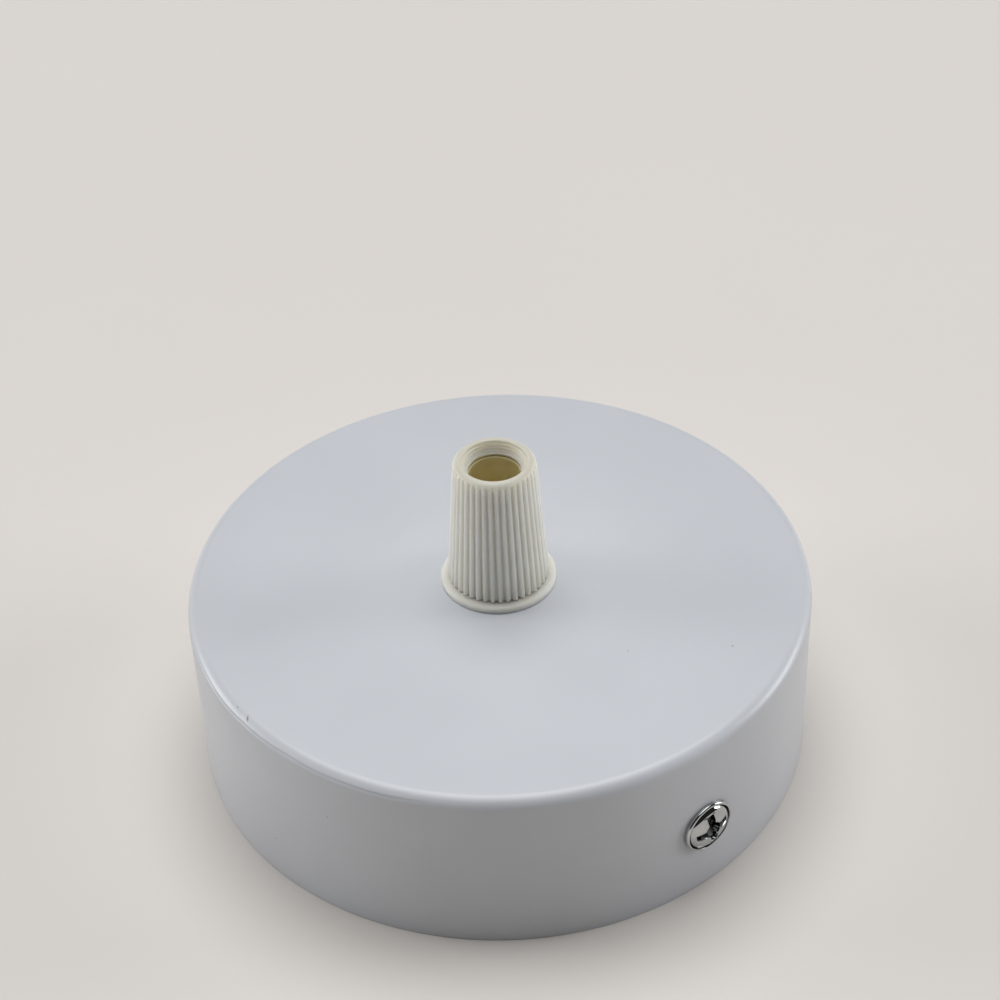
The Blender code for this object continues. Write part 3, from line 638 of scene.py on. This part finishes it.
def makeLockNut(n):
    # six flats: r = flat / cos(a off the nearest flat), never outside the crown's cone on each face
    angle = columns(n["columns"])
    side = fullTurn / 6
    hexagon = n["flat"] / np.cos((angle + side / 2) % side - side / 2)
    drops = np.array(n["drops"])
    crown = n["crown"] + n["crownSlope"] * drops
    threaded = np.linspace(n["foot"] + n["chamfer"], n["top"] - n["chamfer"], n["threadRows"])
    z = np.concatenate([[n["top"]], n["top"] - drops, n["foot"] + drops[::-1], [n["foot"]], threaded])
    outer = np.minimum(hexagon, np.concatenate([crown, crown[::-1]]))
    mouth = np.full((n["columns"], 1), stem["tailRadius"] + stem["play"] + n["chamfer"])
    r = np.concatenate([mouth, outer, mouth, tailThread(angle, threaded) + stem["play"]], 1)
    faces = gridFaces(n["columns"], len(z), True, True)
    makePiece("lockNut", ringPoints(angle, r, z), faces, zincLook, n["ride"], n["smooth"])


makeLockNut(nut)


# Strap that is screwed to the ceiling
strap = {
    "foot": 0.3, "sheet": 1.5, "half": 8.0, "face": 48.04, "top": 18.5, "bend": 1.5, "corner": 4.0,
    "slotMiddle": 25.5, "slotReach": 6.4, "slotRadius": 2.6, "nipple": 5.3, "earth": 11.2, "tapped": 2.15,
    "screwHeight": 13.0, "rounding": 0.14, "smooth": 35.0,
    "ride": ("canopy", "zinc_plated_steel", "mounting_bracket"),
}


def stepsThrough(start, stops):
    # one row of grid lines through all the stops, each (end, cells)
    lines = [[start]]
    for end, cells in stops:
        lines.append(np.linspace(lines[-1][-1], end, cells + 1)[1:])
    return np.concatenate(lines)


def makeStrap(s):
    # one strip: u runs along its middle line, v across; the line bends up at both ends, and the skins
    # lie half a sheet either side of it: x = sin, z = 1 - cos of the turn made in the bend
    middle = s["bend"] + s["sheet"] / 2
    flatEnd = s["face"] - s["sheet"] / 2 - middle
    bendEnd = flatEnd + middle * math.pi / 2
    line = s["foot"] + s["sheet"] / 2
    screw = bendEnd + s["screwHeight"] - line - middle
    end = bendEnd + s["top"] - line - middle
    cell = s["slotRadius"]
    slotA, slotB = s["slotMiddle"] - s["slotReach"], s["slotMiddle"] + s["slotReach"]
    half = stepsThrough(0.0, (
        (s["nipple"], 8), (s["earth"] - cell, 3), (s["earth"] + cell, 8), (slotA - cell, 3), (slotA + cell, 8),
        (slotB - cell, 6), (slotB + cell, 8), (flatEnd, 8), (bendEnd, 8), (screw - cell, 4), (screw + cell, 8),
        (end, 6),
    ))
    v = stepsThrough(-s["half"], ((-s["nipple"], 4), (-cell, 4), (cell, 8), (s["nipple"], 4), (s["half"], 4)))
    u, v = np.meshgrid(np.concatenate([-half[:0:-1], half]), v, indexing="ij")
    # each hole: its middle along u, radius, half its block, half its core, spread as a share of the block
    holes = [(0.0, s["nipple"], s["nipple"], 0.0, 0.3), (s["earth"], s["tapped"], cell, 0.0, 0.5)]
    holes += [(side * screw, s["tapped"], cell, 0.0, 0.5) for side in (-1, 1)]
    holes += [(side * s["slotMiddle"], cell, cell, s["slotReach"], 0.5) for side in (-1, 1)]
    keep = np.ones((u.shape[0] - 1, u.shape[1] - 1), bool)
    warpU, warpV = u, v
    for centre, radius, block, core, spread in holes:
        hole = {"u": centre, "v": 0.0, "radius": radius, "block": block, "core": core, "spread": spread}
        newU, newV, ring = roundHole(u, v, hole)
        touched = ring < 1 + spread
        warpU, warpV = np.where(touched, newU, warpU), np.where(touched, newV, warpV)
        keep &= cellsOutside(ring)
    # tab corners: inside each corner's square the rings turn into quarter circles
    a = np.maximum(np.abs(warpU) - (end - s["corner"]), 0)
    b = np.maximum(np.abs(warpV) - (s["half"] - s["corner"]), 0)
    squeeze = np.maximum(a, b) / np.maximum(np.hypot(a, b), 1e-9)
    inCorner = (a > 0) & (b > 0)
    warpU = np.where(inCorner, np.sign(warpU) * (end - s["corner"] + a * squeeze), warpU)
    warpV = np.where(inCorner, np.sign(warpV) * (s["half"] - s["corner"] + b * squeeze), warpV)
    far = np.abs(warpU)
    swing = np.clip((far - flatEnd) / middle, 0, math.pi / 2)
    skins = []
    for depth in (-s["sheet"] / 2, s["sheet"] / 2):
        x = np.minimum(far, flatEnd) + (middle - depth) * np.sin(swing)
        z = line + middle - (middle - depth) * np.cos(swing) + np.maximum(far - bendEnd, 0)
        skins.append(np.stack([np.sign(warpU) * x, warpV, z], -1))
    faces = sheetFaces(keep, False)
    piece = makePiece("ceilingStrap", np.stack(skins), faces, zincLook, s["ride"], s["smooth"])
    softenEdges(piece, s["rounding"])


makeStrap(strap)


# Cross-recess screws. Each is drawn head up on z = 0 and laid where it belongs.
sideScrew = {
    "flange": 4.5, "flangeHeight": 0.62, "flangeEdge": 0.3, "dome": 3.92, "domeHeight": 0.96, "shoulder": 0.8,
    "gutter": 0.42, "gutterWidth": 0.2,
    "thread": 2.0, "pitch": 0.7, "threadDepth": 0.36, "length": 7.75, "tipCut": 0.45, "seat": 0.03,
    "armHalf": 0.70, "floorHalf": 0.50, "reach": 3.05, "tipSlope": 0.25, "depth": 1.35, "wingRise": 0.3,
    "cone": 1.5, "coneSlope": 0.35, "coneShare": 0.8, "burr": 0.09, "burrWidth": 0.11,
    "turn": 8.0, "place": 50.05, "height": 13.0,
}
earthScrew = {
    "flange": 3.5, "flangeHeight": 0.4, "flangeEdge": 0.1, "dome": 3.3, "domeHeight": 1.6, "shoulder": 0.1,
    "gutter": 0.03, "gutterWidth": 0.03,
    "thread": 2.0, "pitch": 0.7, "threadDepth": 0.36, "length": 2.7, "tipCut": 0.45, "seat": 0.28,
    "armHalf": 0.46, "floorHalf": 0.36, "reach": 1.8, "tipSlope": 0.2, "depth": 1.3, "wingRise": 0.5,
    "cone": 0.8, "coneSlope": 0.25, "coneShare": 0.8, "burr": 0.01, "burrWidth": 0.05,
    "turn": 35.0, "place": 11.2, "height": 3.0, "ride": ("earth_screw", "brass", "earth_screw"),
}
# Mesh lines of a head: across an arm as shares of its floor, its wall and the burr beside it, up to the
# widest angle in degrees, cells from one arm to the next, where the columns even out after the recess and
# before the dome's foot, and the rings inside, along and outside the recess's end, with the gaps between
headGrid = {
    "onFloor": (0.0, 0.5, 1.0), "onWall": (0.33, 0.66, 1.0), "besideWall": (0.6, 1.4, 2.8), "widest": 44.0,
    "betweenArms": 6, "evenAfter": 0.2, "evenBefore": 0.1, "rings": (18, 13, 15), "gaps": (0.3, 0.15),
}
# What the two kinds of screw share: fillet under the head, thread's plain start and fade in mm, rows to
# a millimetre, the share of the gutter's width kept free of painted shade, and the angle that still looks round
screwForm = {"fillet": 0.15, "plain": 0.1, "fade": 0.5, "rows": 11, "brightGutter": 0.4, "smooth": 38.0}


def headColumns(s, r):
    # angles for each ring: columns gather beside the arms' walls, at asin(offset / r), so that the
    # walls stay sharp, and even out towards the dome's foot
    onFloor = s["floorHalf"] * np.array(headGrid["onFloor"])
    onWall = s["floorHalf"] + (s["armHalf"] - s["floorHalf"]) * np.array(headGrid["onWall"])
    besideWall = s["armHalf"] + s["burrWidth"] * np.array(headGrid["besideWall"])
    offsets = np.concatenate([onFloor, onWall, besideWall])
    widest = math.sin(math.radians(headGrid["widest"]))
    arm = np.arcsin(np.minimum(offsets[:, None] / np.maximum(r, 1e-6), widest))
    between = np.linspace(0, 1, headGrid["betweenArms"] + 1)[1:-1, None]
    quarter = np.concatenate([-arm[:0:-1], arm, arm[-1] + between * (math.pi / 2 - 2 * arm[-1])])
    even = np.linspace(0, math.pi / 2, len(quarter), endpoint=False)
    even = (even - even[len(offsets) - 1])[:, None]
    start, end = s["reach"] + headGrid["evenAfter"], s["dome"] - headGrid["evenBefore"]
    calm = ease((r - start) / (end - start))
    quarter = quarter * (1 - calm) + even * calm
    return np.concatenate([quarter + k * math.pi / 2 for k in range(4)])


def crossRecess(s, x, y):
    # 1 at full depth, 0 on the dome: two crossed arms with sloping walls and ends, floors that rise
    # outwards, and a cone in the middle; the burr is a fine raised line along the arms' edges
    sunk = ease((s["cone"] - np.hypot(x, y)) / s["coneSlope"]) * s["coneShare"]
    burr = 0 * x
    for along, across in ((np.abs(x), np.abs(y)), (np.abs(y), np.abs(x))):
        side = ease((s["armHalf"] - across) / (s["armHalf"] - s["floorHalf"]))
        tip = ease((s["reach"] - along) / s["tipSlope"])
        rise = 1 - s["wingRise"] * np.clip((along - s["armHalf"]) / (s["reach"] - s["armHalf"]), 0, 1)
        sunk = np.maximum(sunk, side * tip * rise)
        line = np.exp(-(((across - s["armHalf"] - s["burrWidth"]) / s["burrWidth"]) ** 2))
        burr = np.maximum(burr, line * (along > s["cone"]) * (along < s["reach"]))
    return sunk, burr


def makeScrew(name, s, look, stand, ride):
    # head: sphere cap less the cross, over (angle, r), whose rim rolls over in a quarter ellipse into the
    # gutter: down by gutter (1 - sqrt(1 - x^2)); below it the flange and the threaded shank turned
    crown = (s["dome"] ** 2 + s["domeHeight"] ** 2) / (2 * s["domeHeight"])
    top = s["flangeHeight"] + s["domeHeight"]
    innerEnd, outerStart = s["reach"] - headGrid["gaps"][0], s["reach"] + headGrid["gaps"][1]
    innerRings, endRings, outerRings = headGrid["rings"]
    headR = np.concatenate([
        np.linspace(0, innerEnd, innerRings),
        np.linspace(innerEnd, outerStart, endRings)[1:],
        np.linspace(outerStart, s["dome"], outerRings)[1:],
    ])
    headAngle = headColumns(s, headR)
    sunk, burr = crossRecess(s, headR * np.cos(headAngle), headR * np.sin(headAngle))
    rim = np.clip((headR - s["dome"] + s["shoulder"]) / s["shoulder"], 0, 1)
    dome = np.sqrt(crown ** 2 - headR ** 2) - crown + top - s["gutter"] * (1 - np.sqrt(1 - rim ** 2))
    headZ = dome - sunk * (dome - top + s["depth"]) + s["burr"] * burr * (1 - sunk)
    brim, edge, under, thread = s["flange"], s["flangeEdge"], -s["seat"], s["thread"]
    gutterEnd = s["dome"] + s["gutterWidth"]
    fillet, threadRows = screwForm["fillet"], int((s["length"] - s["tipCut"]) * screwForm["rows"])
    shankR, shankZ = chain(
        run(s["dome"], s["flangeHeight"] - s["gutter"], gutterEnd, s["flangeHeight"], 2),
        run(gutterEnd, s["flangeHeight"], brim - edge, s["flangeHeight"], 2),
        bow(brim - edge, s["flangeHeight"] - edge, edge, 90, 0, 5),
        run(brim, s["flangeHeight"] - edge, brim, under),
        run(brim, under, thread + fillet, under, 2),
        run(thread, under - fillet, thread, -s["length"] + s["tipCut"], threadRows),
        run(thread, -s["length"] + s["tipCut"], thread - s["tipCut"], -s["length"]),
        run(thread - s["tipCut"], -s["length"], 0.0, -s["length"]),
    ).T
    plain = headAngle[:, -1:]
    onThread = (np.abs(shankR - thread) < 1e-6) & (shankZ < under)
    fadeIn = ease((under - screwForm["plain"] - shankZ) / screwForm["fade"])
    cut = s["threadDepth"] * (1 - threadWave(shankZ / s["pitch"] - plain / fullTurn)) * fadeIn
    shankR = np.where(onThread, shankR - cut, shankR)
    r = np.concatenate([headR + 0 * headAngle, shankR + 0 * plain], 1)
    z = np.concatenate([headZ, shankZ + 0 * shankR], 1)
    angle = np.concatenate([headAngle, plain + 0 * shankR], 1)
    # painted shade: the recess, the last quarter of the rolled rim and the gutter
    inGutter = (shankZ > 0) * (shankR < gutterEnd - screwForm["brightGutter"] * s["gutterWidth"])
    paintedShade = np.concatenate([np.maximum(sunk, ease(rim * 4 - 3)), inGutter], 1)
    points = ringPoints(angle + math.radians(s["turn"]), r, z)
    laid = points.reshape(-1, 3) @ np.array(stand)[:3, :3].T + np.array(stand)[:3, 3]
    makePiece(name, laid, gridFaces(*r.shape, True, False), look, ride, screwForm["smooth"], paintedShade)


for side, sideName in ((1, "right"), (-1, "left")):
    level = Matrix.Rotation(math.radians(90 * side), 4, "Y")
    stand = Matrix.Translation((side * sideScrew["place"], 0, sideScrew["height"])) @ level
    ride = (sideName + "_screw", "chromed_steel", "side_screw_" + sideName)
    makeScrew(sideName + "Screw", sideScrew, chromeLook, stand, ride)

stand = Matrix.Translation((earthScrew["place"], 0, earthScrew["height"]))
makeScrew("earthScrew", earthScrew, brassLook, stand, earthScrew["ride"])

# Cupped washer that keeps the earth wire under its screw
cupWasher = {
    "place": 11.2, "foot": 1.82, "plateTop": 2.7, "hole": 2.3, "holeEdge": 0.1, "rimInner": 3.8,
    "rimOuter": 4.3, "rimTop": 3.3, "fillet": 0.2, "footCurl": 0.35, "columns": 72,
    "ride": ("canopy", "brass", "earth_washer"),
}


def makeCupWasher(w):
    # dished washer: a flat plate whose edge curls up into a low round-topped rim
    half = (w["rimOuter"] - w["rimInner"]) / 2
    r, z = chain(
        run(w["hole"], w["foot"] + w["holeEdge"], w["hole"], w["plateTop"] - w["holeEdge"], 2),
        run(w["hole"] + w["holeEdge"], w["plateTop"], w["rimInner"] - w["fillet"], w["plateTop"], 3),
        bow(w["rimInner"] - w["fillet"], w["plateTop"] + w["fillet"], w["fillet"], 270, 360, 3),
        bow(w["rimInner"] + half, w["rimTop"] - half, half, 180, 0, 6),
        bow(w["rimOuter"] - w["footCurl"], w["foot"] + w["footCurl"], w["footCurl"], 0, -90, 4),
        run(w["rimOuter"] - w["footCurl"], w["foot"], w["hole"] + w["holeEdge"], w["foot"], 2),
    ).T
    points = ringPoints(columns(w["columns"]), r, z)
    points[..., 0] += w["place"]
    makePiece("earthWasher", points, gridFaces(w["columns"], len(r), True, True), brassLook, w["ride"])


makeCupWasher(cupWasher)
print("pieces done")


# Floor, light and camera, in a frame turned so that x is the camera's right and y points away from it
studio = {
    "turn": 53.0, "floor": "DFDAD5", "floorShade": "DCD7D2", "floorCloud": 90.0,
    "floorHalf": 6.0,  # metres
    "room": "D8DADD", "roomStrength": 0.03,
}
around = Matrix.Rotation(math.radians(studio["turn"]), 4, "Z")


def makeFloor(s):
    # plain pale paper, faintly uneven in tone
    material, tree, shader, place = startMaterial("paperBackdrop", {"Roughness": 0.9, "IOR": 1.45})
    cloud = addNode(tree, "ShaderNodeTexNoise", {"Vector": place, "Scale": perMetre(s["floorCloud"])})[0]
    colours = {0: cloud, 6: linear(s["floor"]), 7: linear(s["floorShade"])}
    connect(tree, shader, {"Base Color": addNode(tree, "ShaderNodeMix", colours, data_type="RGBA")[2]})
    mesh = bpy.data.meshes.new("floor")
    half = s["floorHalf"]
    corners = [(-half, -half, 0), (half, -half, 0), (half, half, 0), (-half, half, 0)]
    mesh.from_pydata(corners, [], [(0, 1, 2, 3)])
    mesh.materials.append(material)
    floor = bpy.data.objects.new("floor", mesh)
    bpy.context.scene.collection.objects.link(floor)


makeFloor(studio)

# Distant softboxes: azimuth and elevation they shine from, width in degrees, strength and colour
lights = {
    "topBox": (90.0, 85.0, 60.0, 1.48, "FFFFFF"),
    "backBox": (90.0, 72.0, 40.0, 0.95, "FFFFFF"),
    "leftBox": (166.0, 14.0, 30.0, 1.20, "FFFFFF"),
    "rightBox": (12.0, 14.0, 30.0, 1.15, "FFFFFF"),
}

for name, (azimuth, elevation, width, strength, colour) in lights.items():
    a, e = math.radians(azimuth), math.radians(elevation)
    towards = around @ Vector((math.cos(a) * math.cos(e), math.sin(a) * math.cos(e), math.sin(e)))
    light = bpy.data.lights.new(name, "SUN")
    light.angle = math.radians(width)
    light.energy = strength
    light.color = linear(colour)[:3]
    lamp = bpy.data.objects.new(name, light)
    bpy.context.scene.collection.objects.link(lamp)
    lamp.location = towards
    lamp.rotation_euler = (-towards).to_track_quat("-Z", "Y").to_euler()

world = bpy.data.worlds.new("room")
bpy.context.scene.world = world
world.use_nodes = True
room = world.node_tree.nodes["Background"]
room.inputs["Color"].default_value = linear(studio["room"])
room.inputs["Strength"].default_value = studio["roomStrength"]

# Pinhole fitted to the cup's outline: focal length in pixels of the 1000-pixel frame, distances and the
# sensor in mm, clip in metres
view = {
    "frame": 1000, "focal": 2306.7, "sensor": 36.0, "clip": (0.01, 20.0),
    "distance": 389.57, "tilt": 39.20, "roll": -2.32, "across": 0.67, "up": 35.38,
}


def makeCamera(v):
    # back points from the cup to the camera; across and up slide the camera in its own plane
    tilt, roll = math.radians(v["tilt"]), math.radians(v["roll"])
    back = Vector((0, -math.cos(tilt), math.sin(tilt)))
    right = Vector((1, 0, 0))
    up = Vector((0, math.sin(tilt), math.cos(tilt)))
    rightRolled = math.cos(roll) * right + math.sin(roll) * up
    upRolled = math.cos(roll) * up - math.sin(roll) * right
    pose = Matrix((rightRolled, upRolled, back)).transposed().to_4x4()
    pose.translation = (back * v["distance"] + right * v["across"] + up * v["up"]) * mm
    data = bpy.data.cameras.new("camera")
    data.sensor_width = v["sensor"]
    data.lens = v["focal"] / v["frame"] * v["sensor"]
    data.clip_start, data.clip_end = v["clip"]
    camera = bpy.data.objects.new("camera", data)
    bpy.context.scene.collection.objects.link(camera)
    camera.matrix_world = around @ pose
    bpy.context.scene.camera = camera


makeCamera(view)
settings = bpy.context.scene.view_settings
settings.view_transform = "Standard"
settings.look = "None"
print("studio ready")

bpy.context.view_layer.update()
